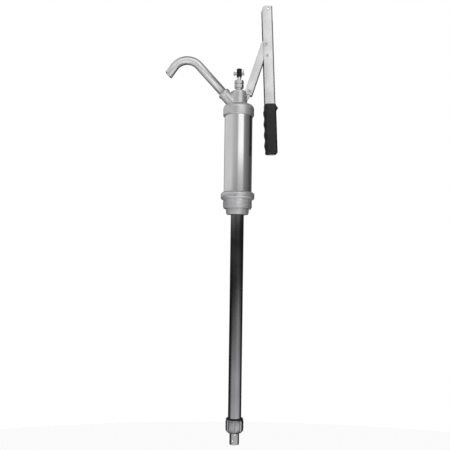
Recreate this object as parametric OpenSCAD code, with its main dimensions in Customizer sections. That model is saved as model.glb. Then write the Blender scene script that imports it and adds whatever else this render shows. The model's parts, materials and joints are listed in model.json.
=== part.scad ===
// Lever hand pump for a drum or a shallow tank, with a telescopic suction pipe.
// Origin: pump axis, at the seat under the base flange. +Z up, +X towards the
// lever, -X towards the spout. Millimetres.

/* [Barrel] */
// Outside diameter of the barrel tube
barrel_d = 57.2; // [56.6:0.1:58]
// Wall thickness of the barrel tube
barrel_wall = 1.6; // [1.4:0.1:1.8]
// Length of barrel that shows between the base and the head
barrel_len = 156.1; // [150:0.1:170]

/* [Base and bung threads] */
// Widest diameter of the base flange
flange_d = 69; // [67:0.5:72]
// Height of the base flange
flange_h = 15.7; // [14.5:0.1:17]
// Outside diameter of the large bung thread, 2 inch pipe size
bung_d = 59.6; // [59.2:0.1:59.8]
// Length of the large bung thread
bung_len = 18.4; // [16:0.1:20]
// Outside diameter of the small bung thread, 1 1/2 inch pipe size
small_bung_d = 47.8; // [47.4:0.1:48]
// Length of the small bung thread that shows below the large one
small_bung_len = 11.6; // [11:0.1:14]

/* [Head casting] */
// Diameter of the collar that holds the barrel
collar_d = 63.5; // [62.5:0.5:66]
// Height of the collar with its domed shoulder
collar_h = 24.5; // [23:0.5:27]
// Diameter of the neck above the collar
neck_d = 33; // [32:0.5:34]
// Height of the neck above the collar
neck_h = 28; // [27:0.5:30]

/* [Spout] */
// Outside diameter of the spout tube
spout_d = 17.5; // [17:0.1:18]
// Wall thickness of the spout tube
spout_wall = 1.5; // [1.2:0.1:1.8]
// Angle of the straight spout above the horizontal
spout_rise = 47; // [44:1:50]
// Distance along the spout from the pump axis to the start of the bend
spout_run = 121; // [115:1:130]
// Radius of the bend, at the middle of the tube
spout_bend_r = 32.6; // [30:0.2:36]
// Angle that the bend turns through
spout_bend = 103; // [95:1:110]
// Straight length after the bend
spout_end = 20.8; // [16:0.1:24]

/* [Suction pipe] */
// Outside diameter of the upper suction tube
upper_d = 26.9; // [26.5:0.1:27.2]
// Length of the upper suction tube that shows
upper_len = 412; // [380:1:450]
// Outside diameter of the lower suction tube
lower_d = 19.6; // [19.2:0.1:20]
// Length of the lower suction tube that shows when it is pushed in
lower_show = 23; // [21:1:40]
// Diameter of the lock nut between the two tubes
lock_d = 36.4; // [35.5:0.1:38]
// Height of the lock nut
lock_h = 30; // [28:0.5:34]

/* [Lever and link] */
// Distance between the two pivots of the link
link_len = 103.8; // [103:0.1:105]
// Angle of the parked link above the horizontal
link_rest = 72.1; // [71.8:0.01:73]
// Lean of the parked lever, foot outwards
lever_lean = 2.5; // [2.1:0.1:2.8]
// Length of lever above its pivot
lever_up = 80; // [78:0.5:82]
// Length of lever below its pivot
lever_down = 221; // [215:1:226]
// Diameter of the hole that takes the clevis pin
drive_hole_d = 6.2; // [6:0.1:6.4]
// Length of the rubber grip
grip_len = 104; // [96:1:110]

/* [Rod and piston] */
// Diameter of the piston rod
rod_d = 8; // [7.8:0.1:8]
// Height of the piston's underside above the flange seat
piston_z = 30; // [28:0.5:34]

/* [Hidden] */

$fn = 96;
e = 0.01;
run = 0.05;            // radial clearance of a running fit

barrel_r = barrel_d / 2;
bore_r = barrel_r - barrel_wall;
rod_r = rod_d / 2;
flange_edge_r = 4.2;
socket_wall = 5;       // floor of the base below the barrel
gasket_t = 2;
head_z = flange_h + barrel_len;
collar_top = head_z + collar_h;
neck_top = collar_top + neck_h;
barrel_foot = socket_wall + gasket_t;
barrel_top = head_z + 14;
dome_r = 10;
chamber_top = neck_top - 15.5;
stub_r = 6.5;
stub_h = 10.5;

// spout frame
spout_z0 = collar_top - 10.5;
spout_r = spout_d / 2;
boss_r = 11.75;
boss_len = 42;
lip_r = 12.7;
lip_len = 6;
socket_start = 30;

// gland
gland_af_r = 9.75;
gland_z = neck_top + 6.2;
gland_body_h = 8.3;
gland_nut_z = gland_z + gland_body_h + 0.3;
gland_nut_h = 7.7;
gland_top = gland_nut_z + gland_nut_h;
chamber_r = 6.2;
spigot_r = 7.6;

// linkage
lug_t = 8;
link_in = 9.4;
link_out = 13;
lever_in = 14;
lever_out = 18;
p1 = [21.3, neck_top - 1];
p2 = p1 + link_len * [cos(link_rest), sin(link_rest)];
lug_end_r = 6.2;
fulcrum_r = 3.5;
pivot_r = 3;
link_free = -9.3;      // open edge of the link's cheeks, from the pivot line
link_back = 8.7;       // outside of the link's back
lever_free = -5;       // open edge of the lever's cheeks, from its pivot
lever_back = 16.6;     // outside of the lever's back
lever_t = (lever_out - lever_in) / 2;
link_t = (link_out - link_in) / 2;
drive_uw = [7.5, 73.4];
fork_w = 50;           // height above the pivot where the lever's back ends
stop_uw = [2.6, -23.7];
stop_r = 2.2;
seal_t = 1.5;

// clevis
clevis_z = gland_top + 7;
clevis_h = 17;
clevis_pin_z = clevis_z + 7;
clevis_w = 12;
pin_r = 2.9;

ring_x = 8.2;           // plane of the split ring, beside the clevis
ring_coil_r = 4.6;
ring_wire_r = 0.7;
ring_tilt = 10;        // lean of the split ring, which stands up from the pin

// grip
grip_wall = 1.3;
grip_foot = -lever_down - 6.5;
grip_top = grip_foot + grip_len;
bump_pitch = 22.5;

// suction pipe
upper_r = upper_d / 2;
upper_wall = 1.5;
lower_r = lower_d / 2;
lower_wall = 1.2;
strainer_r = 2.1;
strainer_xz = [[1.6, 19.8], [-3.4, 7.6]];   // front holes, across and above the foot
strainer_drop = 4.2;                         // how much lower the holes at the back are
base_foot = -(bung_len + small_bung_len);
lock_top = base_foot - upper_len;
lock_foot = lock_top - lock_h;
upper_foot = lock_foot + 11;
lower_foot = lock_foot - lower_show;
lower_top = -40;
upper_top = -10;

rod_foot = piston_z - 9;
rod_top = clevis_z + 3.8;

module tube(r_out, r_in, z0, z1) {
    translate([0, 0, z0])
        difference() {
            cylinder(r = r_out, h = z1 - z0);
            translate([0, 0, -1]) cylinder(r = r_in, h = z1 - z0 + 2);
        }
}

// Rectangle with its corners rounded by r, corner at the origin
module rounded(w, h, r) {
    translate([r, 0]) square([w - 2 * r, h]);
    translate([0, r]) square([w, h - 2 * r]);
    for (x = [r, w - r], y = [r, h - r]) translate([x, y]) circle(r, $fn = 48);
}

// Plate of thickness t, centred on Y = 0, from an outline drawn in X and Z
module plate(t) {
    translate([0, t / 2, 0]) rotate([90, 0, 0]) linear_extrude(t) children();
}

// Local frames: origin at the pivot, +Z along the arm
module link_frame() {
    translate([p1[0], 0, p1[1]]) rotate([0, 90 - link_rest, 0]) children();
}
module lever_frame() {
    translate([p2[0], 0, p2[1]]) rotate([0, -lever_lean, 0]) children();
}
module spout_frame() {
    translate([0, 0, spout_z0]) rotate([0, spout_rise - 90, 0]) children();
}

// Hexagon bar with both ends turned to a chamfer
module hexagon(z0, h, r, chamfer) {
    translate([0, 0, z0])
        intersection() {
            cylinder(r = r, h = h, $fn = 6);
            rotate_extrude()
                polygon([[0, 0], [r - chamfer, 0], [r, chamfer * 0.7], [r, h - chamfer * 0.7],
                    [r - chamfer, h], [0, h]]);
        }
}

module barrel() {
    color("gainsboro") tube(barrel_r, bore_r, barrel_foot, barrel_top);
}

// Flange, barrel socket, small bung thread and the pipe socket under it
module base() {
    r = flange_d / 2;
    color("darkgray")
        difference() {
            rotate_extrude() {
                square([r - 10, flange_h - 1]);
                translate([r - 20, 0]) rounded(20, flange_h - 1, flange_edge_r);
                square([barrel_r + 2, flange_h]);
                translate([0, -bung_len]) square([small_bung_d / 2, bung_len + 1]);
                translate([0, -bung_len - 1.2]) square([small_bung_d / 2 - 1, 2]);
                translate([0, base_foot + 1.8])
                    square([small_bung_d / 2, small_bung_len - 1.2 - 1.8]);
                polygon([[0, base_foot], [small_bung_d / 2 - 1.8, base_foot],
                    [small_bung_d / 2, base_foot + 1.8], [0, base_foot + 1.8]]);
            }
            translate([0, 0, socket_wall]) cylinder(r = barrel_r, h = flange_h);
            translate([0, 0, base_foot - 1]) cylinder(r = 10, h = 60);
            translate([0, 0, base_foot - 1])
                cylinder(r = upper_r, h = upper_top + seal_t - base_foot + 1);
        }
}

module base_gasket() {
    color("dimgray") tube(barrel_r, 20, socket_wall, barrel_foot);
}

// Ring from the small bung thread to the large one
module bung_adaptor() {
    r = bung_d / 2;
    color("silver")
        rotate_extrude()
            polygon([[small_bung_d / 2, 0], [r, 0], [r, -bung_len + 1.5], [r - 1.5, -bung_len],
                [small_bung_d / 2, -bung_len]]);
}

module upper_tube() {
    color("#2b2b2b") tube(upper_r, upper_r - upper_wall, upper_foot, upper_top);
}

module upper_tube_seal() {
    color("black") tube(upper_r, 10, upper_top, upper_top + seal_t);
}

module valve_seat() {
    color("khaki")
        difference() {
            tube(bore_r, 8, barrel_foot, barrel_foot + 4);
            translate([0, 0, barrel_foot + 3]) tube(bore_r - 4, 10, 0, 2);
        }
}

module foot_valve_disc() {
    z = barrel_foot + 4;
    color("black") {
        translate([0, 0, z]) cylinder(r = 11, h = 2.5);
        translate([0, 0, z + 2.5 - e]) cylinder(r = 2.4, h = 2.5);
    }
}

// Three-legged cage that keeps the foot valve disc over its seat
module valve_cage() {
    z = barrel_foot + 4;
    color("khaki")
        difference() {
            tube(16, 2.8, z, z + 9);
            translate([0, 0, z - 1]) cylinder(r = 12, h = 8);
            for (a = [0, 120, 240])
                rotate([0, 0, a]) translate([6, -7, z - 1]) cube([20, 14, 8]);
        }
}

module head_outline() {
    r = collar_d / 2;
    n = neck_d / 2;
    translate([0, head_z + 1]) square([r, collar_h - dome_r - 1]);
    translate([0, head_z]) square([r - 1, 2]);
    translate([r - dome_r, collar_top - dome_r]) circle(dome_r);
    translate([0, head_z + 2]) square([r - dome_r, collar_h - 2]);
    translate([0, collar_top - 1]) square([n, neck_h - 2]);
    translate([0, neck_top - 4]) square([n - 3, 4]);
    translate([n - 3, neck_top - 3]) circle(3);
    // bevelled root of the neck
    translate([0, collar_top - e])
        polygon([[0, 0], [n + 3, 0], [n + 1.1, 0.9], [n, 2.8], [0, 2.8]]);
    // stub under the gland, flared at its root
    translate([0, neck_top - 1]) square([stub_r, stub_h + 1]);
    difference() {
        translate([0, neck_top - e]) square([stub_r + 3.5, 3.5]);
        translate([stub_r + 3.5, neck_top + 3.5]) circle(3.5);
    }
}

module lug_outline() {
    translate(p1) circle(lug_end_r);
    polygon([p1 + lug_end_r * [cos(-33), sin(-33)], [17.8, collar_top + 9.8],
        [17, collar_top + 6], [17, collar_top - 1], [9, collar_top - 1], [9, neck_top - 4],
        p1 + lug_end_r * [cos(125), sin(125)]]);
}

// Cast head: collar, neck, spout boss, lever lug and gland stub
module head() {
    color("gray")
        difference() {
            union() {
                rotate_extrude() head_outline();
                spout_frame() {
                    translate([0, 0, 8]) cylinder(r = boss_r, h = boss_len - 7);
                    translate([0, 0, boss_len]) cylinder(r = lip_r, h = lip_len - 1);
                    translate([0, 0, boss_len + lip_len - 1 - e])
                        cylinder(r = lip_r - 0.9, h = 1);
                }
                plate(lug_t) lug_outline();
            }
            translate([0, 0, head_z - 1]) cylinder(r = barrel_r, h = barrel_top + gasket_t + 1 - head_z);
            translate([0, 0, barrel_top + gasket_t - e])
                rotate_extrude()
                    polygon([[0, 0], [24, 0], [24, 1], [11, 5], [11, chamber_top - barrel_top - gasket_t],
                        [0, chamber_top - barrel_top - gasket_t]]);
            translate([0, 0, head_z]) cylinder(r = rod_r + run, h = 80);
            spout_frame() {
                cylinder(r = spout_r - spout_wall, h = boss_len + 20);
                translate([0, 0, socket_start]) cylinder(r = spout_r, h = boss_len);
                translate([0, 0, boss_len - 2]) cylinder(r = spout_r + 1.5, h = 3);
            }
            // spot faces beside the lug that let the link's cheeks swing
            for (s = [-1, 1])
                translate([p1[0], s * (lug_t / 2 + 1.6), p1[1]])
                    rotate([90, 0, 0]) cylinder(r = 10.4, h = 3.2, center = true);
            translate([p1[0], 0, p1[1]])
                rotate([90, 0, 0]) cylinder(r = fulcrum_r + run, h = 40, center = true);
        }
}

module head_gasket() {
    color("dimgray") tube(barrel_r, 24, barrel_top, barrel_top + gasket_t);
}

module spout_seal() {
    color("black")
        spout_frame() tube(spout_r + 1.5, spout_r, boss_len - 2, boss_len + 1);
}

// The bend is a hair thinner than the straights, which run a little way over its ends
module spout_path(r, extra) {
    lap = 0.3;
    translate([0, 0, socket_start - extra])
        cylinder(r = r, h = spout_run - socket_start + extra + lap);
    translate([-spout_bend_r, 0, spout_run]) {
        rotate([90, 0, 0])
            rotate_extrude(angle = spout_bend) translate([spout_bend_r, 0]) circle(r - 0.03);
        rotate([0, -spout_bend, 0])
            translate([spout_bend_r, 0, -lap]) cylinder(r = r, h = spout_end + 6 + extra + lap);
    }
}

// Drawn tube, bent once, with its mouth cut a little off square
module spout() {
    color("lightgray")
        spout_frame()
            difference() {
                spout_path(spout_r, 0);
                spout_path(spout_r - spout_wall, 2);
                translate([-spout_bend_r, 0, spout_run])
                    rotate([0, -spout_bend, 0])
                        translate([spout_bend_r, 0, spout_end])
                            rotate([0, 11, 0]) translate([-30, -30, 0]) cube([60, 60, 20]);
            }
}

module gland_body() {
    color("silver")
        difference() {
            union() {
                hexagon(gland_z, gland_body_h, gland_af_r, 1.3);
                translate([0, 0, gland_z]) cylinder(r = spigot_r, h = gland_body_h + 4.5);
            }
            translate([0, 0, gland_z - 1]) cylinder(r = stub_r, h = neck_top + stub_h - gland_z + 1);
            translate([0, 0, gland_z]) cylinder(r = chamber_r, h = 30);
        }
}

module gland_packing() {
    z0 = neck_top + stub_h;
    color("ivory")
        for (i = [0:2]) tube(chamber_r, rod_r + run, z0 + 2 * i, z0 + 2 * i + 1.95);
}

module gland_follower() {
    z0 = neck_top + stub_h + 6;
    color("goldenrod") tube(chamber_r, rod_r + run, z0, gland_z + gland_body_h + 4.5);
}

module gland_nut() {
    color("silver")
        difference() {
            hexagon(gland_nut_z, gland_nut_h, gland_af_r, 1.5);
            translate([0, 0, gland_nut_z - 1])
                cylinder(r = spigot_r + run, h = 1 + 4.5 - 0.2);
            translate([0, 0, gland_nut_z]) cylinder(r = rod_r + 0.4, h = 30);
        }
}

module piston_rod() {
    color("silver") translate([0, 0, rod_foot]) cylinder(r = rod_r, h = rod_top - rod_foot);
}

module piston_nut() {
    color("silver")
        difference() {
            hexagon(piston_z - 6.5, 6.5, 7.5, 0.8);
            translate([0, 0, rod_foot - 1]) cylinder(r = rod_r, h = 20);
        }
}

// Piston plate with a ring of ports below the valve disc
module piston_body() {
    color("khaki")
        difference() {
            tube(bore_r - 0.4, rod_r, piston_z, piston_z + 10);
            for (a = [0:60:300])
                rotate([0, 0, a]) translate([12, 0, piston_z - 1]) cylinder(r = 3.2, h = 20);
        }
}

module piston_cup() {
    z = piston_z + 10;
    color("saddlebrown") {
        tube(bore_r - run, 18, z, z + 2.5);
        tube(bore_r - run, bore_r - 2.5, z + 2.5 - e, z + 8);
    }
}

module cup_clamp() {
    color("silver") tube(bore_r - 2.8, 18, piston_z + 12.5, piston_z + 14.5);
}

module piston_valve_disc() {
    color("black") tube(16.5, 5.4, piston_z + 10, piston_z + 12);
}

module rod_spacer() {
    color("silver") tube(5.1, rod_r, piston_z + 10, piston_z + 16);
}

module valve_guard() {
    color("silver") tube(12, rod_r, piston_z + 16, piston_z + 18);
}

// Rod end that the lever's fork straddles, drilled for the pull-out pin
module clevis() {
    w = clevis_w;
    color("#303030")
        difference() {
            translate([0, 0, clevis_z])
                rotate_extrude()
                    union() {
                        square([w / 2, clevis_h - 1.2]);
                        translate([0, clevis_h - 3]) square([w / 2 - 1.2, 3]);
                        translate([w / 2 - 1.2, clevis_h - 1.2]) circle(1.2);
                    }
            translate([0, 0, clevis_z - 1]) cylinder(r = rod_r, h = rod_top - clevis_z + 1);
            translate([0, 0, clevis_pin_z]) rotate([0, 90, 0]) cylinder(r = pin_r, h = 60, center = true);
            for (s = [-1, 1])
                translate([s * w - s * w / 2 * 0.16, 0, clevis_z + 8])
                    cube([w, 2 * w, clevis_h * 2], center = true);
        }
}

// Round wire bent into a ring that threads the pin, r is the wire's radius
module split_ring_wire(r) {
    translate([ring_x, ring_coil_r * sin(ring_tilt), clevis_pin_z + ring_coil_r * cos(ring_tilt)])
        rotate([0, 90, 0]) rotate_extrude() translate([ring_coil_r, 0]) circle(r, $fn = 32);
}

// Pin with a flanged head, cross-drilled for its split ring
module clevis_pin() {
    color("darkgray")
        difference() {
            translate([0, 0, clevis_pin_z])
                rotate([0, 90, 0]) {
                    translate([0, 0, -9.5]) cylinder(r = pin_r, h = 19.5);
                    translate([0, 0, -11.3]) cylinder(r = 4.2, h = 1.9);
                    translate([0, 0, 10 - e]) cylinder(r = pin_r - 0.5, h = 0.6);
                }
            split_ring_wire(ring_wire_r + 0.1);
        }
}

module split_ring() {
    color("whitesmoke") split_ring_wire(ring_wire_r);
}

module rivet(r, width, head_r, head_h, hole_r) {
    rotate([90, 0, 0])
        difference() {
            union() {
                cylinder(r = r, h = width, center = true);
                for (s = [-1, 1])
                    translate([0, 0, s * (width / 2 + head_h / 2)])
                        cylinder(r = head_r, h = head_h + e, center = true);
            }
            for (s = [-1, 1])
                translate([0, 0, s * (width / 2 + head_h)])
                    cylinder(r = hole_r, h = 7, center = true);
        }
}

module fulcrum_rivet() {
    color("silver")
        translate([p1[0], 0, p1[1]]) rivet(fulcrum_r, link_out, 5.2, 0.45, 2);
}

module lever_rivet() {
    color("silver") lever_frame() rivet(pivot_r, lever_out, 4.4, 1, 1.7);
}

module stop_rivet() {
    color("silver")
        lever_frame() translate([stop_uw[0], 0, stop_uw[1]]) rivet(stop_r, lever_out, 3.8, 1, 1.2);
}

// Pressed channel: outline cut from a bar whose back corners are rounded
module channel(out, inner, t, back, bend_r, low, high) {
    difference() {
        intersection() {
            plate(out) children(0);
            translate([back - 60, -out / 2, low - 1])
                linear_extrude(high - low + 2) rounded(60, out, bend_r);
        }
        translate([back - t - 60, -inner / 2, low - 2])
            linear_extrude(high - low + 4) rounded(60, inner, bend_r - t + 0.4);
    }
}

module link_outline() {
    foot = -6.4;
    top = link_len + 8.6;
    w = link_back - link_free;
    translate([link_free, foot]) rounded(w, 20, 6);
    translate([link_back - 8, foot]) square([8, 20]);
    translate([link_free, foot + 8]) square([w, top - foot - 8 - 9]);
    translate([link_free, top - 18]) rounded(w, 18, 8.6);
}

module link() {
    color("lightgray")
        difference() {
            link_frame()
                channel(link_out, link_in, link_t, link_back, 3.4, -8, link_len + 10) link_outline();
            translate([p1[0], 0, p1[1]])
                rotate([90, 0, 0]) cylinder(r = fulcrum_r, h = 40, center = true);
            translate([p2[0], 0, p2[1]])
                rotate([90, 0, 0]) cylinder(r = pivot_r + run, h = 40, center = true);
            lever_frame()
                translate([stop_uw[0], 0, stop_uw[1]])
                    rotate([90, 0, 0]) cylinder(r = stop_r + 0.25, h = 40, center = true);
        }
}

module lever_outline() {
    w = lever_back - lever_free;
    translate([lever_free, lever_up - 20]) rounded(w, 20, 7);
    translate([lever_back - 8, lever_up - 20]) square([8, 20]);
    translate([lever_free, -lever_down]) square([w, lever_up + lever_down - 8]);
}

module lever() {
    color("gainsboro")
        lever_frame()
            difference() {
                channel(lever_out, lever_in, lever_t, lever_back, 4, -lever_down, lever_up)
                    lever_outline();
                translate([lever_back - 6, -lever_in / 2, fork_w]) cube([10, lever_in, lever_up]);
                rotate([90, 0, 0]) cylinder(r = pivot_r, h = 40, center = true);
                translate([drive_uw[0], 0, drive_uw[1]])
                    rotate([90, 0, 0]) cylinder(d = drive_hole_d, h = 40, center = true);
                translate([stop_uw[0], 0, stop_uw[1]])
                    rotate([90, 0, 0]) cylinder(r = stop_r, h = 40, center = true);
            }
}

// Side view of the grip: four finger bumps on the inside, a guard lip outside
module grip_outline() {
    u0 = lever_free - grip_wall;
    u1 = lever_back + grip_wall;
    w = u1 - u0;
    translate([u0, grip_foot]) rounded(w, grip_len, 4.5);
    for (i = [0:3]) {
        z = grip_foot + 8 + bump_pitch * (i + 0.02);
        translate([u0 + 40 - 1.7, z]) intersection() {
            circle(40, $fn = 180);
            translate([-40, 0]) square([16, 22], center = true);
        }
    }
    translate([u1 - 6, grip_top - 13]) rounded(10, 9, 3.8);
}

module grip() {
    color("#1c1c1c")
        lever_frame()
            difference() {
                intersection() {
                    plate(lever_out + 2 * grip_wall) grip_outline();
                    translate([lever_free - 6, -lever_out / 2 - grip_wall, grip_foot - 1])
                        linear_extrude(grip_len + 2)
                            rounded(lever_back - lever_free + 14, lever_out + 2 * grip_wall, 4);
                }
                translate([lever_free, -lever_out / 2, -lever_down])
                    cube([lever_back - lever_free, lever_out, grip_len + 20]);
                translate([lever_free + 4, -6, grip_foot - 1])
                    cube([lever_back - lever_free - 8, 12, 2.2]);
            }
}

// Softer pad let into the foot of the grip
module grip_pad() {
    color("#555555")
        lever_frame()
            translate([lever_free + 4, -6, grip_foot + 0.4])
                cube([lever_back - lever_free - 8, 12, 0.8]);
}

// Moulded nut with eight grip flutes
module lock_nut() {
    r = lock_d / 2;
    color("#5a5a5a")
        translate([0, 0, lock_foot])
            difference() {
                rotate_extrude() {
                    translate([0, 3.5]) square([r, lock_h - 3.5 - 3]);
                    polygon([[0, 0], [r - 4.5, 0], [r - 1.2, 3.5], [r, 3.6], [0, 3.6]]);
                    translate([r - 3, lock_h - 3]) circle(3);
                    square([r - 3, lock_h]);
                    square([r - 4.5, 1]);
                }
                for (a = [0:45:315])
                    rotate([0, 0, a + 90]) translate([r + 1.1, 0, 4]) cylinder(r = 1.9, h = lock_h);
                translate([0, 0, 11]) cylinder(r = upper_r + run, h = lock_h);
                translate([0, 0, 5]) cylinder(r = upper_r - 0.6, h = 10);
                translate([0, 0, -1]) cylinder(r = lower_r + 0.35, h = 20);
            }
}

module lock_ferrule() {
    color("white") tube(upper_r - 0.6, lower_r + run, lock_foot + 5, lock_foot + 10.7);
}

// Lower suction tube with two cross-drilled strainer holes
module lower_tube() {
    color("darkgray")
        difference() {
            tube(lower_r, lower_r - lower_wall, lower_foot, lower_top);
            for (h = strainer_xz, side = [0, 1])
                translate([h[0], 0, lower_foot + h[1] - side * strainer_drop])
                    rotate([90 + 180 * side, 0, 0]) cylinder(r = strainer_r, h = 20);
            for (z = [11, 17.5])
                translate([0, 0, lower_foot + z])
                    rotate([0, 90, 0]) cylinder(r = strainer_r, h = 40, center = true);
        }
}

module lower_tube_bush() {
    color("white") tube(upper_r - upper_wall - 0.08, lower_r, lower_top - 14, lower_top - 4);
}

module tube_stop_ring() {
    color("silver") tube(upper_r - upper_wall, lower_r + 0.35, upper_foot + 6, upper_foot + 9);
}

barrel();
base();
base_gasket();
bung_adaptor();
upper_tube();
upper_tube_seal();
valve_seat();
foot_valve_disc();
valve_cage();
head();
head_gasket();
spout();
spout_seal();
gland_body();
gland_packing();
gland_follower();
gland_nut();
piston_rod();
piston_nut();
piston_body();
piston_cup();
cup_clamp();
piston_valve_disc();
rod_spacer();
valve_guard();
clevis();
clevis_pin();
split_ring();
fulcrum_rivet();
link();
lever_rivet();
stop_rivet();
lever();
grip();
grip_pad();
lock_nut();
lock_ferrule();
lower_tube();
lower_tube_bush();
tube_stop_ring();
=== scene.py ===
import json
import math

import bmesh
import bpy
from mathutils import Matrix, Vector


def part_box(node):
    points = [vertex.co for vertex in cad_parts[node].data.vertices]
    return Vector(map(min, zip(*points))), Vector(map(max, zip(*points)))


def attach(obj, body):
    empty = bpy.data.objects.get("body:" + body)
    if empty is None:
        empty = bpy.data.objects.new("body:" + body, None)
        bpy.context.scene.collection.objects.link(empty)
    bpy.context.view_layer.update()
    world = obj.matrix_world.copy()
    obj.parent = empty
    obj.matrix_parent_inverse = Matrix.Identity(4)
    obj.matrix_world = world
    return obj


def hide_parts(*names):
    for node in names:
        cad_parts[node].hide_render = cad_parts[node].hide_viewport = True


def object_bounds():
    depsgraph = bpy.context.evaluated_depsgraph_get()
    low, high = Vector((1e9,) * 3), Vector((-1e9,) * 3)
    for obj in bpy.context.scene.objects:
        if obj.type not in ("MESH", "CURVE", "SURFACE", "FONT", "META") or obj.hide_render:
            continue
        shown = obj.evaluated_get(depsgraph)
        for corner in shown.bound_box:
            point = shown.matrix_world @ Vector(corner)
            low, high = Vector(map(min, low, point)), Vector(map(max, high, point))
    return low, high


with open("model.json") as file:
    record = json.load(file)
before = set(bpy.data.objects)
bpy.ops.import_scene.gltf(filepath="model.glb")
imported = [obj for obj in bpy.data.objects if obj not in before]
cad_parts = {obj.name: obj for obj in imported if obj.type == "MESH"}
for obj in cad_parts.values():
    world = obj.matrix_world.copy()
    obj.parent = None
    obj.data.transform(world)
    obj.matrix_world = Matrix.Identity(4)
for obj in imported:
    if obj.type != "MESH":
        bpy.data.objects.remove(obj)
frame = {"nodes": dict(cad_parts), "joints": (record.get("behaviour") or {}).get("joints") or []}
cad_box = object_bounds()
nodes = frame["nodes"]
joints = {j["name"]: j for j in frame["joints"]}
scene = bpy.context.scene
MM = 0.001


# Barrel: a drawn steel tube, about 57 mm across, plated bright and left plain.
# It is held between the head and the base, each of which takes an end in a socket.

def coat(name, light, dark, metal=1.0, rough=0.2, rough_swing=0.06, grain=60.0, stretch=(1, 1, 1),
         bump_depth=0.00002, bump_scale=900.0, edge=0.0003, painted_edge_tone=0.0, speck=0.0):
    """One finish: drifting colour, uneven roughness, a fine bump, softened edges and, where asked, edges
    painted towards mid grey: a painted highlight on dark finishes, painted shade on bright ones.
    """
    material = bpy.data.materials.new(name)
    material.use_nodes = True
    tree = material.node_tree
    new = tree.nodes.new
    link = tree.links.new
    shader = tree.nodes["Principled BSDF"]
    shader.inputs["Metallic"].default_value = metal
    place = new("ShaderNodeTexCoord")
    turn = new("ShaderNodeMapping")
    turn.inputs["Scale"].default_value = stretch
    link(place.outputs["Object"], turn.inputs["Vector"])
    cloud = new("ShaderNodeTexNoise")
    cloud.inputs["Scale"].default_value = grain
    cloud.inputs["Detail"].default_value = 6.0
    link(turn.outputs["Vector"], cloud.inputs["Vector"])
    tone = new("ShaderNodeValToRGB")
    tone.color_ramp.elements[0].position = 0.3
    tone.color_ramp.elements[0].color = (*dark, 1)
    tone.color_ramp.elements[1].position = 0.7
    tone.color_ramp.elements[1].color = (*light, 1)
    link(cloud.outputs["Fac"], tone.inputs["Fac"])
    colour = tone.outputs["Color"]
    patch = new("ShaderNodeTexNoise")
    patch.inputs["Scale"].default_value = grain * 0.35
    patch.inputs["Detail"].default_value = 3.0
    link(place.outputs["Object"], patch.inputs["Vector"])
    spread = new("ShaderNodeMapRange")
    spread.inputs["From Min"].default_value = 0.3
    spread.inputs["From Max"].default_value = 0.7
    spread.inputs["To Min"].default_value = max(rough - rough_swing, 0.02)
    spread.inputs["To Max"].default_value = rough + rough_swing
    link(patch.outputs["Fac"], spread.inputs["Value"])
    link(spread.outputs["Result"], shader.inputs["Roughness"])
    soften = new("ShaderNodeBevel")
    soften.samples = 4
    soften.inputs["Radius"].default_value = edge
    fine = new("ShaderNodeTexNoise")
    fine.inputs["Scale"].default_value = bump_scale
    fine.inputs["Detail"].default_value = 4.0
    link(turn.outputs["Vector"], fine.inputs["Vector"])
    bump = new("ShaderNodeBump")
    bump.inputs["Distance"].default_value = bump_depth
    link(fine.outputs["Fac"], bump.inputs["Height"])
    link(soften.outputs["Normal"], bump.inputs["Normal"])
    link(bump.outputs["Normal"], shader.inputs["Normal"])
    if speck:
        dots = new("ShaderNodeTexVoronoi")
        dots.inputs["Scale"].default_value = bump_scale * 0.4
        link(place.outputs["Object"], dots.inputs["Vector"])
        pits = new("ShaderNodeMapRange")
        pits.inputs["From Min"].default_value = 0.05
        pits.inputs["From Max"].default_value = 0.22
        pits.inputs["To Min"].default_value = 1.0 - speck
        pits.inputs["To Max"].default_value = 1.0
        link(dots.outputs["Distance"], pits.inputs["Value"])
        darken = new("ShaderNodeMix")
        darken.data_type = "RGBA"
        darken.blend_type = "MULTIPLY"
        darken.inputs["Factor"].default_value = 1.0
        link(colour, darken.inputs["A"])
        link(pits.outputs["Result"], darken.inputs["B"])
        colour = darken.outputs["Result"]
    # Edges are mixed towards mid grey: a painted highlight along the edges of dark finishes such as the
    # blacking, painted edge shade along the edges of the bright ones.
    if painted_edge_tone:
        flat = new("ShaderNodeNewGeometry")
        match = new("ShaderNodeVectorMath")
        match.operation = "DOT_PRODUCT"
        link(flat.outputs["Normal"], match.inputs[0])
        link(soften.outputs["Normal"], match.inputs[1])
        painted_edge_mask = new("ShaderNodeMapRange")
        painted_edge_mask.inputs["From Min"].default_value = 0.995
        painted_edge_mask.inputs["From Max"].default_value = 0.9
        painted_edge_mask.inputs["To Max"].default_value = painted_edge_tone
        link(match.outputs["Value"], painted_edge_mask.inputs["Value"])
        painted_edge_mix = new("ShaderNodeMix")
        painted_edge_mix.data_type = "RGBA"
        painted_edge_mix.inputs["B"].default_value = (0.55, 0.55, 0.56, 1)
        link(painted_edge_mask.outputs["Result"], painted_edge_mix.inputs["Factor"])
        link(colour, painted_edge_mix.inputs["A"])
        colour = painted_edge_mix.outputs["Result"]
    link(colour, shader.inputs["Base Color"])
    return material


def dress(material, *names):
    """Gives carried-over parts their finish."""
    for name in names:
        for slot in nodes[name].material_slots:
            slot.material = material


bright_plate = coat("bright_plate", (0.86, 0.86, 0.87), (0.78, 0.78, 0.79), rough=0.13,
                    rough_swing=0.04, grain=35, stretch=(1, 1, 0.25), bump_depth=0.000004,
                    bump_scale=420)
dress(bright_plate, "barrel")


# Head: an iron or aluminium casting, matt and a little grainy. The collar is bored for the
# barrel, the neck carries the gland, a boss holds the spout and a flat lug carries the link.

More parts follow.
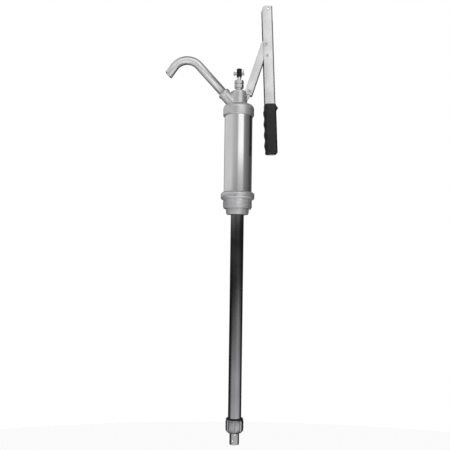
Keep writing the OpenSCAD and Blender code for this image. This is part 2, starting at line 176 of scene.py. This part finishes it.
def piece(name, mesh, material, body, replaced=()):
    """Turns a bmesh into a finished piece that rides on a body."""
    data = bpy.data.meshes.new(name)
    mesh.to_mesh(data)
    mesh.free()
    for face in data.polygons:
        face.use_smooth = True
    made = bpy.data.objects.new(name, data)
    scene.collection.objects.link(made)
    data.materials.append(material)
    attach(made, body)
    if replaced:
        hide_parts(*replaced)
    return made


cast_metal = coat("cast_metal", (0.84, 0.84, 0.85), (0.70, 0.70, 0.71), metal=0.85, rough=0.36,
                  rough_swing=0.06, grain=140, bump_depth=0.00013, bump_scale=620, edge=0.0006,
                  painted_edge_tone=0.12, speck=0.2)

casting = bmesh.new()
casting.from_mesh(nodes["head"].data)
bmesh.ops.remove_doubles(casting, verts=casting.verts, dist=0.01 * MM)
bmesh.ops.recalc_face_normals(casting, faces=casting.faces)
head = piece("head_casting", casting, cast_metal, "pump", ["head"])
blend_radii = head.modifiers.new("blend_radii", "REMESH")
blend_radii.mode = "VOXEL"
blend_radii.voxel_size = 0.6 * MM
blend_radii.use_smooth_shade = True
soften_cast = head.modifiers.new("soften_cast", "SMOOTH")
soften_cast.factor = 0.5
soften_cast.iterations = 5


# Base: the second casting, a round-edged flange with a socket for the barrel above it and
# a pipe-threaded spigot below. The thread is cut, so its flanks are brighter than the casting.

THREAD_PITCH = 2.309 * MM
THREAD_DEPTH = 1.48 * MM


def turned(profile, segments=128):
    """Revolves an open outline of (radius, height) points about the pump's axis."""
    mesh = bmesh.new()
    points = [mesh.verts.new((r, 0, z)) for r, z in profile]
    edges = [mesh.edges.new(pair) for pair in zip(points, points[1:])]
    bmesh.ops.spin(mesh, geom=points + edges, cent=(0, 0, 0), axis=(0, 0, 1), angle=2 * math.pi,
                   steps=segments, use_merge=True, use_duplicate=False)
    bmesh.ops.remove_doubles(mesh, verts=mesh.verts, dist=0.001 * MM)
    bmesh.ops.recalc_face_normals(mesh, faces=mesh.faces)
    return mesh


def arc(cx, cz, r, start, end, steps=8):
    """Points round part of a circle, angles in degrees from the outward direction."""
    return [(cx + r * math.cos(math.radians(start + (end - start) * i / steps)),
             cz + r * math.sin(math.radians(start + (end - start) * i / steps)))
            for i in range(steps + 1)]


def helix_ridge(crest, low, high):
    """A closed V ridge wound up a cylinder, fading into it at both ends."""
    mesh = bmesh.new()
    root = crest - THREAD_DEPTH
    outline = [(root - 0.5 * MM, -0.48), (root, -0.48), (crest, -0.09), (crest, 0.09), (root, 0.48),
               (root - 0.5 * MM, 0.48)]
    points = [mesh.verts.new((r, 0, low + z * THREAD_PITCH)) for r, z in outline]
    section = mesh.faces.new(points)
    turns = (high - low) / THREAD_PITCH
    steps = int(turns * 72)
    end = bmesh.ops.spin(mesh, geom=[section], cent=(0, 0, 0), axis=(0, 0, 1),
                         dvec=(0, 0, (high - low) / steps), angle=2 * math.pi * turns,
                         steps=steps, use_duplicate=False, use_merge=False)
    for v in mesh.verts:
        along = min(v.co.z - low, high - v.co.z) / THREAD_PITCH
        fade = min(max(along / 0.8, 0.0), 1.0)
        r = math.hypot(v.co.x, v.co.y)
        if r > root and fade < 1:
            keep = (root - 0.2 * MM + (r - root + 0.2 * MM) * fade) / r
            v.co.x *= keep
            v.co.y *= keep
    bmesh.ops.recalc_face_normals(mesh, faces=mesh.faces)
    return mesh


base_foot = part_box("base")[0].z
flange_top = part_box("base")[1].z
flange_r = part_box("base")[1].x
ring_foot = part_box("bung_adaptor")[0].z
ring_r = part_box("bung_adaptor")[1].x
spigot_r = 23.9 * MM
pipe_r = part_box("upper_tube")[1].x
barrel_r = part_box("barrel")[1].x
edge_r = 4.2 * MM
plate_top = flange_top - 1 * MM

base_outline = [(pipe_r, base_foot + 0.6 * MM), (pipe_r + 0.6 * MM, base_foot),
                (spigot_r - 2.2 * MM, base_foot), (spigot_r - 1.6 * MM, base_foot + 0.7 * MM),
                (spigot_r - 1.5 * MM, 0)]
base_outline += [(spigot_r + 6 * MM, 0)]
base_outline += arc(flange_r - edge_r, edge_r, edge_r, -90, 0, 10)
base_outline += arc(flange_r - edge_r, plate_top - edge_r, edge_r, 0, 84, 10)
base_outline += [(barrel_r + 3.2 * MM, plate_top + 0.1 * MM)]
base_outline += arc(barrel_r + 1.2 * MM, flange_top - 0.8 * MM, 0.8 * MM, 10, 100, 6)
base_outline += [(barrel_r, flange_top - 1.4 * MM), (barrel_r, 7 * MM), (10 * MM, 5 * MM),
                 (10 * MM, -10 * MM), (pipe_r, -10 * MM), (pipe_r, base_foot + 0.6 * MM)]
cut_metal = coat("cut_metal", (0.92, 0.92, 0.93), (0.80, 0.80, 0.81), metal=0.9, rough=0.32, grain=200,
                 stretch=(1, 1, 4), bump_depth=0.00003, bump_scale=700)
piece("base_casting", turned(base_outline), cast_metal, "pump", ["base"])
piece("spigot_thread", helix_ridge(spigot_r, base_foot + 1.6 * MM, ring_foot + 2 * MM), cut_metal,
      "pump")


# Bung ring: a zinc-plated ring with the larger pipe thread outside. It screws up the
# spigot against the flange and comes off where the smaller bung is used.

zinc_plate = coat("zinc_plate", (0.92, 0.92, 0.93), (0.80, 0.80, 0.81), metal=0.9, rough=0.32, grain=160,
                  stretch=(1, 1, 3), bump_depth=0.00003, bump_scale=600)
ring_root = ring_r - THREAD_DEPTH
ring_outline = [(spigot_r - 1.4 * MM, ring_foot + 0.8 * MM), (spigot_r, ring_foot),
                (ring_root - 1.2 * MM, ring_foot), (ring_root, ring_foot + 1.2 * MM),
                (ring_root, -1.6 * MM), (ring_r - 0.3 * MM, -1.2 * MM), (ring_r - 0.3 * MM, -0.05 * MM),
                (spigot_r - 1.4 * MM, -0.05 * MM), (spigot_r - 1.4 * MM, ring_foot + 0.8 * MM)]
piece("bung_ring", turned(ring_outline), zinc_plate, "pump", ["bung_adaptor"])
piece("bung_ring_thread", helix_ridge(ring_r, ring_foot + 1.0 * MM, -1.4 * MM), zinc_plate,
      "pump")


# Spout: one length of plated tube, bent once over a former and pushed into the head's boss.
# Its mouth is sawn a little off square and deburred.

spout_r = 8.75 * MM
spout_wall = 1.5 * MM
spout_rise = math.radians(47)
spout_root = Vector((0, 0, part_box("head")[1].z - 49 * MM))
spout_run = 121 * MM
spout_start = 34 * MM
bend_r = 32.6 * MM
bend_turn = math.radians(103)
spout_tail = 20.8 * MM
mouth_skew = math.radians(11)

outward = Vector((-math.cos(spout_rise), 0, math.sin(spout_rise)))
inward = Vector((-math.sin(spout_rise), 0, -math.cos(spout_rise)))
tube = bmesh.new()
stand = Matrix.Translation(spout_root + outward * spout_start) @ Matrix.Rotation(
    spout_rise - math.pi / 2, 4, "Y")
bmesh.ops.create_circle(tube, cap_ends=False, segments=72, radius=spout_r, matrix=stand)
rim = list(tube.edges)
straight = bmesh.ops.extrude_edge_only(tube, edges=rim)["geom"]
bmesh.ops.translate(tube, verts=[v for v in straight if isinstance(v, bmesh.types.BMVert)],
                    vec=outward * (spout_run - spout_start))
far = [g for g in straight if not isinstance(g, bmesh.types.BMFace)]
bend_centre = spout_root + outward * spout_run + inward * bend_r
swept = bmesh.ops.spin(tube, geom=far, cent=bend_centre, axis=(0, -1, 0), angle=bend_turn, steps=36,
                       use_duplicate=False, use_merge=False)["geom_last"]
down = Matrix.Rotation(bend_turn, 3, Vector((0, -1, 0))) @ outward
last = [g for g in swept if isinstance(g, bmesh.types.BMEdge)]
tail = bmesh.ops.extrude_edge_only(tube, edges=last)["geom"]
bmesh.ops.translate(tube, verts=[v for v in tail if isinstance(v, bmesh.types.BMVert)],
                    vec=down * (spout_tail + 6 * MM))
bend_end = bend_centre - Matrix.Rotation(bend_turn, 3, Vector((0, -1, 0))) @ (inward * bend_r)
mouth = bend_end + down * spout_tail
mouth_normal = Matrix.Rotation(mouth_skew, 3, "Y") @ down
bmesh.ops.bisect_plane(tube, geom=list(tube.verts) + list(tube.edges) + list(tube.faces),
                       plane_co=mouth, plane_no=mouth_normal, clear_outer=True)
bmesh.ops.recalc_face_normals(tube, faces=tube.faces)
bmesh.ops.solidify(tube, geom=list(tube.faces), thickness=spout_wall)
lips = [e for e in tube.edges
        if abs((e.verts[0].co - mouth).dot(mouth_normal)) < 0.02 * MM
        and abs((e.verts[1].co - mouth).dot(mouth_normal)) < 0.02 * MM
        and len(e.link_faces) == 2
        and e.link_faces[0].normal.dot(e.link_faces[1].normal) < 0.5]
bmesh.ops.bevel(tube, geom=lips, offset=0.35 * MM, affect="EDGES", segments=2, profile=0.5, material=-1)
spout_plate = coat("spout_plate", (0.95, 0.95, 0.96), (0.88, 0.88, 0.89), rough=0.34, rough_swing=0.05,
                   grain=70, bump_depth=0.000008, bump_scale=380)
piece("spout_tube", tube, spout_plate, "pump", ["spout"])


# Gland: a hexagon body screwed over the head's stub and a hexagon nut on top, both turned
# from bar and plated. The nut squeezes the packing on the rod through a brass follower.

bar_steel = coat("bar_steel", (0.66, 0.66, 0.67), (0.52, 0.52, 0.53), rough=0.28, grain=260,
                 stretch=(1, 1, 3), bump_depth=0.00002, bump_scale=800, edge=0.0004, painted_edge_tone=0.3)
ptfe = coat("ptfe", (0.82, 0.82, 0.80), (0.74, 0.74, 0.72), metal=0, rough=0.5, grain=90)
follower_brass = coat("follower_brass", (0.66, 0.52, 0.26), (0.56, 0.42, 0.20), rough=0.3, grain=120)
dress(bar_steel, "gland_body", "gland_nut")
dress(ptfe, "gland_packing", "lock_ferrule", "lower_tube_bush")
dress(follower_brass, "gland_follower")


# Rod and clevis: ground and plated rod, and a blackened steel rod end screwed on it and
# cross-drilled for a pull-out pin with a flanged head. A split ring keeps the pin in.

rod_plate = coat("rod_plate", (0.84, 0.84, 0.85), (0.76, 0.76, 0.77), rough=0.1, grain=120,
                 stretch=(1, 1, 0.3), bump_depth=0.000004, bump_scale=700)
blacking = coat("blacking", (0.045, 0.045, 0.048), (0.022, 0.022, 0.024), metal=0.75, rough=0.36,
                grain=300, bump_depth=0.00003, bump_scale=900, painted_edge_tone=0.35)
dress(rod_plate, "piston_rod")
dress(blacking, "clevis")
dress(bar_steel, "clevis_pin")

wire_r = 0.55 * MM
coil_r = 4.7 * MM
ring_low, ring_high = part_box("split_ring")
ring_centre = (ring_low + ring_high) / 2
coil = bmesh.new()
wire_place = Matrix.Translation((ring_centre.x - wire_r, ring_centre.y, ring_centre.z + coil_r))
bmesh.ops.create_circle(coil, cap_ends=True, segments=14, radius=wire_r,
                        matrix=wire_place @ Matrix.Rotation(math.pi / 2, 4, "X"))
bmesh.ops.spin(coil, geom=list(coil.faces), cent=ring_centre, axis=(1, 0, 0),
               dvec=(2 * wire_r / 96, 0, 0), angle=math.radians(700), steps=96,
               use_duplicate=False, use_merge=False)
bmesh.ops.recalc_face_normals(coil, faces=coil.faces)
spring_wire = coat("spring_wire", (0.82, 0.82, 0.83), (0.74, 0.74, 0.75), rough=0.15, grain=200)
piece("split_ring_coil", coil, spring_wire, "clevis_assembly", ["split_ring"])


# Link and lever: two pressed steel channels, nested, on hollow rivets. Both are plated
# bright after pressing, with faint drawing lines along their length.

lever_plate = coat("lever_plate", (0.80, 0.80, 0.81), (0.70, 0.70, 0.71), rough=0.3, rough_swing=0.07,
                   grain=90, stretch=(1, 1, 0.12), bump_depth=0.00002, bump_scale=500, edge=0.0005,
                   painted_edge_tone=0.2)
link_plate = coat("link_plate", (0.78, 0.78, 0.79), (0.68, 0.68, 0.69), rough=0.32, rough_swing=0.07,
                  grain=90, stretch=(1, 1, 0.2), bump_depth=0.00002, bump_scale=500, edge=0.0005,
                  painted_edge_tone=0.2)
dress(bar_steel, "fulcrum_rivet", "lever_rivet", "stop_rivet")
lever_lean = math.radians(-2.5)
link_lean = math.radians(90 - 72.1)
lever_half = 9 * MM
link_half = 6.5 * MM
cheek_strips = 8
corner_angle = math.radians(28)


def sprung_channel(node, joint, lean, free, back, half, bulge):
    """A pressed channel whose cheeks stand out a little along their middle, as pressed steel does."""
    mesh = bmesh.new()
    mesh.from_mesh(nodes[node].data)
    bmesh.ops.remove_doubles(mesh, verts=mesh.verts, dist=0.002 * MM)
    place = Matrix.Translation(Vector(joints[joint]["pos_m"])) @ Matrix.Rotation(lean, 4, "Y")
    bmesh.ops.transform(mesh, matrix=place.inverted(), verts=mesh.verts)
    for strip in range(1, cheek_strips):
        across = free + (back - free) * strip / cheek_strips
        bmesh.ops.bisect_plane(mesh, geom=list(mesh.verts) + list(mesh.edges) + list(mesh.faces),
                               plane_co=(across, 0, 0), plane_no=(1, 0, 0))
    centre = (free + back) / 2
    for v in mesh.verts:
        share = (v.co.x - centre) / ((back - free) / 2)
        if abs(v.co.y) > half - 2.2 * MM:
            v.co.y += math.copysign(bulge * max(0.0, 1 - share * share), v.co.y)
    bmesh.ops.transform(mesh, matrix=place, verts=mesh.verts)
    bmesh.ops.recalc_face_normals(mesh, faces=mesh.faces)
    for edge in mesh.edges:
        if len(edge.link_faces) == 2 and edge.calc_face_angle(0) > corner_angle:
            edge.smooth = False
    return mesh


lever_mesh = sprung_channel("lever", "lever_pivot", lever_lean, free=-5 * MM, back=16.6 * MM,
                            half=lever_half, bulge=0.5 * MM)
link_mesh = sprung_channel("link", "link_pivot", link_lean, free=-9.3 * MM, back=8.7 * MM,
                           half=link_half, bulge=0.35 * MM)
lever_channel = piece("lever_channel", lever_mesh, lever_plate, "lever_assembly", ["lever"])
link_channel = piece("link_channel", link_mesh, link_plate, "link_assembly", ["link"])
for channel in (lever_channel, link_channel):
    flats = channel.modifiers.new("even_flats", "WEIGHTED_NORMAL")
    flats.keep_sharp = True


# Grip: a moulded rubber sleeve pushed on the lever's foot, with four finger swells on the
# inside, a guard lip on the outside, and a softer pad let into its foot.

lever_pivot = Vector(joints["lever_pivot"]["pos_m"])
lever_place = Matrix.Translation(lever_pivot) @ Matrix.Rotation(lever_lean, 4, "Y")
grip_in = -6.3 * MM
grip_out = 17.9 * MM
grip_half = 10.3 * MM
grip_foot = -227.5 * MM
grip_long = 104 * MM
finger_pitch = 22.5 * MM
finger_start = 3.2 * MM
finger_top = 92 * MM
finger_rise = 1.7 * MM
face_rise = 0.9 * MM
lip_level = 95.5 * MM
lip_width = 3.4 * MM
lip_rise = 3.6 * MM
slice_height = 1.0 * MM

sleeve = bmesh.new()
middle = (grip_in + grip_out) / 2
bmesh.ops.create_cube(sleeve, size=1.0, matrix=Matrix.Translation((middle, 0, grip_foot + grip_long / 2))
                      @ Matrix.Diagonal((grip_out - grip_in, 2 * grip_half, grip_long, 1)))
long_edges = [e for e in sleeve.edges if abs(e.verts[0].co.z - e.verts[1].co.z) > 1 * MM]
bmesh.ops.bevel(sleeve, geom=long_edges, offset=4.2 * MM, affect="EDGES", segments=8, profile=0.5,
                material=-1)
level = grip_foot + slice_height
while level < grip_foot + grip_long - 0.5 * MM:
    bmesh.ops.bisect_plane(sleeve, geom=list(sleeve.verts) + list(sleeve.edges) + list(sleeve.faces),
                           plane_co=(0, 0, level), plane_no=(0, 0, 1))
    level += slice_height
for side in (-0.5, 0, 0.5):
    bmesh.ops.bisect_plane(sleeve, geom=list(sleeve.verts) + list(sleeve.edges) + list(sleeve.faces),
                           plane_co=(middle + side * 12 * MM, 0, 0), plane_no=(1, 0, 0))
    bmesh.ops.bisect_plane(sleeve, geom=list(sleeve.verts) + list(sleeve.edges) + list(sleeve.faces),
                           plane_co=(0, side * 10 * MM, 0), plane_no=(0, 1, 0))
for v in sleeve.verts:
    up = v.co.z - grip_foot
    reach = (v.co.x - middle) / (grip_out - middle)
    swell = 0.5 - 0.5 * math.cos(2 * math.pi * (up + finger_start) / finger_pitch)
    if up < finger_top:
        v.co.x -= finger_rise * (1 - swell) * max(-reach, 0) ** 1.5
    lip = math.exp(-(((up - lip_level) / lip_width) ** 2))
    v.co.x += lip_rise * lip * max(reach, 0) ** 1.5
    close_foot = min(1.0, max(0.0, 1 - up / (5 * MM)))
    close_top = min(1.0, max(0.0, 1 - (grip_long - up) / (2.5 * MM)))
    pinch = 1 - 0.34 * (1 - math.sqrt(1 - close_foot ** 2)) - 0.07 * close_top ** 2
    v.co.x = middle + (v.co.x - middle) * pinch
    v.co.y *= pinch * (1 + face_rise / grip_half * (1 - min(1.0, reach * reach)))
    arch = 1 - (v.co.y / grip_half) ** 2
    if up > grip_long - 0.2 * MM:
        v.co.z -= 1.2 * MM * arch
foot_faces = [f for f in sleeve.faces if f.calc_center_median().z < grip_foot + 0.01 * MM]
bmesh.ops.inset_region(sleeve, faces=foot_faces, thickness=1.6 * MM, use_even_offset=True)
bmesh.ops.inset_region(sleeve, faces=foot_faces, thickness=0.3 * MM, depth=-1.8 * MM,
                       use_even_offset=True)
bmesh.ops.transform(sleeve, matrix=lever_place, verts=sleeve.verts)
bmesh.ops.recalc_face_normals(sleeve, faces=sleeve.faces)
grip_rubber = coat("grip_rubber", (0.010, 0.010, 0.011), (0.006, 0.006, 0.007), metal=0, rough=0.34,
                   rough_swing=0.08, grain=120, bump_depth=0.00008, bump_scale=1400, edge=0.0004)
piece("grip_sleeve", sleeve, grip_rubber, "lever_assembly", ["grip"])
pad_rubber = coat("pad_rubber", (0.30, 0.30, 0.305), (0.24, 0.24, 0.245), metal=0, rough=0.6, grain=200,
                  bump_depth=0.00005, bump_scale=1500)
dress(pad_rubber, "grip_pad")


# Suction pipe: a plated steel upper tube, and a lower tube that slides in it and is drilled
# near its foot to strain what it draws.

pipe_plate = coat("pipe_plate", (0.38, 0.38, 0.39), (0.30, 0.30, 0.31), rough=0.14, rough_swing=0.04,
                  grain=40, stretch=(1, 1, 0.3), bump_depth=0.000006, bump_scale=300)
lower_steel = coat("lower_steel", (0.52, 0.52, 0.53), (0.42, 0.42, 0.43), rough=0.22, grain=60,
                   stretch=(1, 1, 0.4), bump_depth=0.00001, bump_scale=420)
dress(pipe_plate, "upper_tube")
dress(lower_steel, "lower_tube")
dress(bar_steel, "tube_stop_ring")


# Lock nut: turned steel with eight flutes milled for the fingers, plated like the pipe. It
# squeezes a ferrule on the lower tube to hold it where it is set.

def fluted(radius, flute, count, levels, segments=192):
    """Stacks outlines of a fluted round bar; levels are (height, inset, share of the flute)."""
    mesh = bmesh.new()
    bmesh.ops.create_circle(mesh, cap_ends=False, segments=segments, radius=radius)
    loop = list(mesh.edges)
    rings = [list(mesh.verts)]
    for _ in levels[1:]:
        grown = bmesh.ops.extrude_edge_only(mesh, edges=loop)["geom"]
        loop = [g for g in grown if isinstance(g, bmesh.types.BMEdge)]
        rings.append([g for g in grown if isinstance(g, bmesh.types.BMVert)])
    for ring_verts, (height, inset, share) in zip(rings, levels):
        for v in ring_verts:
            turn = math.atan2(v.co.y, v.co.x)
            wave = math.cos(count * (turn + math.radians(98)))
            groove = max(0.0, (wave - 0.55) / 0.45) ** 1.1
            r = radius - inset - flute * share * groove
            v.co = Vector((r * math.cos(turn), r * math.sin(turn), height))
    bmesh.ops.recalc_face_normals(mesh, faces=mesh.faces)
    return mesh


nut_low, nut_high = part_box("lock_nut")
nut_r = nut_high.x
nut_foot, nut_top = nut_low.z, nut_high.z
lower_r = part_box("lower_tube")[1].x
nut_levels = [(nut_foot + 3 * MM, nut_r - lower_r - 0.1 * MM, 0), (nut_foot, nut_r - lower_r - 0.1 * MM, 0),
              (nut_foot, 5.4 * MM, 0), (nut_foot + 0.8 * MM, 4.3 * MM, 0),
              (nut_foot + 3.0 * MM, 1.9 * MM, 0.1), (nut_foot + 4.0 * MM, 1.0 * MM, 0.5),
              (nut_foot + 5.4 * MM, 0.35 * MM, 1), (nut_foot + 9 * MM, 0, 1), (nut_top - 6.4 * MM, 0, 1),
              (nut_top - 5.4 * MM, 0.1 * MM, 0.7), (nut_top - 4.4 * MM, 0.3 * MM, 0.15),
              (nut_top - 3.6 * MM, 0.6 * MM, 0), (nut_top - 3.1 * MM, 1.1 * MM, 0),
              (nut_top - 3.1 * MM, nut_r - pipe_r - 0.15 * MM, 0),
              (nut_top - 6 * MM, nut_r - pipe_r - 0.15 * MM, 0)]
nut_plate = coat("nut_plate", (0.46, 0.46, 0.47), (0.36, 0.36, 0.37), rough=0.24, grain=80,
                 bump_depth=0.00002, bump_scale=900, painted_edge_tone=0.15)
piece("lock_nut_turned", fluted(nut_r, 1.5 * MM, 8, nut_levels), nut_plate, "lock_nut_assembly",
      ["lock_nut"])


# Gap shade: a black ring set in a recess in the lock nut's top, round the pipe. It is painted shade, a dark
# thing standing where the gap between pipe and nut lies in shade, and it turns with the nut.

shade_ring_z = nut_top - 3.0 * MM
shade_ring_outline = [(pipe_r + 0.1 * MM, shade_ring_z), (nut_r - 1.1 * MM, shade_ring_z)]
shade_ring_outline += arc(nut_r - 2.8 * MM, nut_top - 2.5 * MM, 2.2 * MM, 0, 80, 6)
shade_ring_outline += [(pipe_r + 0.3 * MM, nut_top), (pipe_r + 0.1 * MM, nut_top - 0.3 * MM),
                  (pipe_r + 0.1 * MM, shade_ring_z)]
# Near-black ring colour: painted shade for the gap between pipe and nut.
shade_ring_black = coat("shade_ring_black", (0.012, 0.012, 0.013), (0.006, 0.006, 0.007), metal=0, rough=0.6,
                    grain=200, bump_depth=0.00003, bump_scale=1400)
piece("nut_gap_shade_ring", turned(shade_ring_outline), shade_ring_black, "lock_nut_assembly")


# Working parts inside: moulded valve seat, cage and piston plate, an oiled leather cup,
# rubber valve discs and seals, and fibre gaskets at the barrel's ends.

acetal = coat("acetal", (0.78, 0.76, 0.70), (0.70, 0.68, 0.62), metal=0, rough=0.4, grain=80)
soft_rubber = coat("soft_rubber", (0.035, 0.035, 0.035), (0.022, 0.022, 0.022), metal=0, rough=0.55,
                   grain=150)
leather = coat("leather", (0.34, 0.22, 0.13), (0.24, 0.15, 0.09), metal=0, rough=0.55, grain=180,
               bump_depth=0.00015, bump_scale=1100)
fibre = coat("fibre", (0.27, 0.26, 0.24), (0.19, 0.18, 0.17), metal=0, rough=0.8, grain=240,
             bump_depth=0.00012, bump_scale=1200)
dress(acetal, "valve_seat", "valve_cage", "piston_body")
dress(soft_rubber, "foot_valve_disc", "piston_valve_disc", "upper_tube_seal", "spout_seal")
dress(leather, "piston_cup")
dress(fibre, "base_gasket", "head_gasket")
dress(bar_steel, "piston_nut", "cup_clamp", "rod_spacer", "valve_guard")


# Studio: a pale floor below the foot of the fully drawn-out pipe, and a plain surround of soft
# panels. A wide dim panel stands on one side, a narrow bright one in front.

pipe_travel = joints["tube_extend"]["range_m"][1]
floor_mesh = bmesh.new()
bmesh.ops.create_circle(floor_mesh, cap_ends=True, segments=128, radius=3.0,
                        matrix=Matrix.Translation((0, -1.2, cad_box[0].z - pipe_travel - 0.2 * MM)))
floor_data = bpy.data.meshes.new("floor")
floor_mesh.to_mesh(floor_data)
floor_mesh.free()
floor = bpy.data.objects.new("floor", floor_data)
scene.collection.objects.link(floor)
paper = bpy.data.materials.new("floor_paper")
paper.use_nodes = True
paper.node_tree.nodes["Principled BSDF"].inputs["Base Color"].default_value = (0.85, 0.85, 0.85, 1)
paper.node_tree.nodes["Principled BSDF"].inputs["Roughness"].default_value = 0.9
paper.node_tree.nodes["Principled BSDF"].inputs["Emission Color"].default_value = (1, 1, 1, 1)
paper.node_tree.nodes["Principled BSDF"].inputs["Emission Strength"].default_value = 0.6
floor_data.materials.append(paper)
floor.visible_glossy = False

world = bpy.data.worlds.new("studio")
scene.world = world
world.use_nodes = True
sky = world.node_tree
sky.nodes.clear()
look = sky.nodes.new("ShaderNodeTexCoord")
split = sky.nodes.new("ShaderNodeSeparateXYZ")
sky.links.new(look.outputs["Generated"], split.inputs["Vector"])
behind = sky.nodes.new("ShaderNodeMath")
behind.operation = "MULTIPLY"
behind.inputs[1].default_value = -1.0
sky.links.new(split.outputs["Y"], behind.inputs[0])
compass = sky.nodes.new("ShaderNodeMath")
compass.operation = "ARCTAN2"
sky.links.new(split.outputs["X"], compass.inputs[0])
sky.links.new(behind.outputs["Value"], compass.inputs[1])
unroll = sky.nodes.new("ShaderNodeMapRange")
unroll.inputs["From Min"].default_value = -math.pi
unroll.inputs["From Max"].default_value = math.pi
sky.links.new(compass.outputs["Value"], unroll.inputs["Value"])


def panels(levels):
    """Brightness all round the horizon; levels are (degrees from the front, brightness)."""
    ramp = sky.nodes.new("ShaderNodeValToRGB")
    stops = ramp.color_ramp.elements
    stops.remove(stops[-1])
    first, *rest = levels
    stops[0].position = (first[0] + 180) / 360
    stops[0].color = (first[1], first[1], first[1], 1)
    for angle, level in rest:
        stop = stops.new((angle + 180) / 360)
        stop.color = (level, level, level, 1)
    sky.links.new(unroll.outputs["Result"], ramp.inputs["Fac"])
    return ramp.outputs["Color"]


def over(lower, upper, start, end):
    """Goes from one brightness to another between two heights of the view direction."""
    rise = sky.nodes.new("ShaderNodeMapRange")
    rise.interpolation_type = "SMOOTHSTEP"
    rise.inputs["From Min"].default_value = start
    rise.inputs["From Max"].default_value = end
    sky.links.new(split.outputs["Z"], rise.inputs["Value"])
    blend = sky.nodes.new("ShaderNodeMix")
    blend.data_type = "RGBA"
    sky.links.new(rise.outputs["Result"], blend.inputs["Factor"])
    for socket, value in (("A", lower), ("B", upper)):
        if isinstance(value, float):
            blend.inputs[socket].default_value = (value, value, value, 1)
        else:
            sky.links.new(value, blend.inputs[socket])
    return blend.outputs["Result"]


near_floor = panels([(-180, 0.10), (-100, 0.02), (-78, 0.55), (-60, 0.92), (0, 0.95), (30, 1.0),
                     (55, 0.9), (75, 0.75), (95, 0.15), (115, 0.0), (180, 0.10)])
far_floor = panels([(-180, 0.0), (-95, 0.02), (-60, 0.16), (-15, 0.3), (15, 0.5), (32, 0.75), (55, 0.5),
                    (75, 0.3), (95, 0.05), (180, 0.0)])
panel_foot = panels([(-180, 0.16), (-166, 0.12), (-150, 0.55), (-135, 0.70), (-62, 0.70), (-40, 0.46),
                     (-12, 0.40), (2, 0.46), (34, 0.46), (44, 0.28), (62, 0.20), (90, 0.12),
                     (112, 0.05), (132, 0.10), (145, 0.06), (180, 0.16)])
panel_top = panels([(-180, 0.16), (-166, 0.12), (-150, 0.50), (-135, 0.66), (-62, 0.66), (-40, 0.52),
                    (-12, 0.46), (0, 1.15), (34, 1.2), (44, 0.30), (62, 0.20), (90, 0.12),
                    (112, 0.05), (132, 0.10), (145, 0.06), (180, 0.16)])
deep_floor = panels([(-180, 0.1), (-120, 0.3), (-60, 0.55), (-20, 0.62), (0, 0.95), (22, 0.95), (48, 0.45),
                     (85, 0.2), (130, 0.1), (180, 0.1)])
ceiling = panels([(-180, 0.35), (-120, 0.45), (-60, 0.62), (-20, 0.72), (0, 1.0), (22, 1.0), (48, 0.5),
                  (85, 0.25), (130, 0.2), (180, 0.35)])
level = over(deep_floor, near_floor, -0.50, -0.30)
level = over(level, far_floor, -0.21, -0.08)
level = over(level, 0.028, -0.11, 0.01)
level = over(level, panel_foot, 0.08, 0.12)
level = over(level, panel_top, 0.145, 0.185)
level = over(level, ceiling, 0.32, 0.52)
level = over(level, 0.05, 0.90, 0.96)
lit = sky.nodes.new("ShaderNodeBackground")
sky.links.new(level, lit.inputs["Color"])
plain = sky.nodes.new("ShaderNodeBackground")
plain.inputs["Color"].default_value = (1, 1, 1, 1)
ray = sky.nodes.new("ShaderNodeLightPath")
choose = sky.nodes.new("ShaderNodeMixShader")
sky.links.new(ray.outputs["Is Camera Ray"], choose.inputs["Fac"])
sky.links.new(lit.outputs["Background"], choose.inputs[1])
sky.links.new(plain.outputs["Background"], choose.inputs[2])
out = sky.nodes.new("ShaderNodeOutputWorld")
sky.links.new(choose.outputs["Shader"], out.inputs["Surface"])

camera_data = bpy.data.cameras.new("camera")
camera = bpy.data.objects.new("camera", camera_data)
scene.collection.objects.link(camera)
camera_data.lens = 52
camera_data.sensor_width = 36
camera_data.shift_y = 0.055
distance = 1.325
swing = math.radians(-4)
tilt = math.radians(2)
roll = math.radians(0.82)
centre_line = -0.0242
eye_level = -0.1486
camera.location = (centre_line + math.sin(swing) * distance, -math.cos(swing) * distance, eye_level)
aim = Vector((-math.sin(swing) * math.cos(tilt), math.cos(swing) * math.cos(tilt), math.sin(tilt)))
camera.rotation_euler = (aim.to_track_quat("-Z", "Y").to_matrix()
                         @ Matrix.Rotation(roll, 3, "Z")).to_euler()
scene.camera = camera
scene.view_settings.view_transform = "Standard"
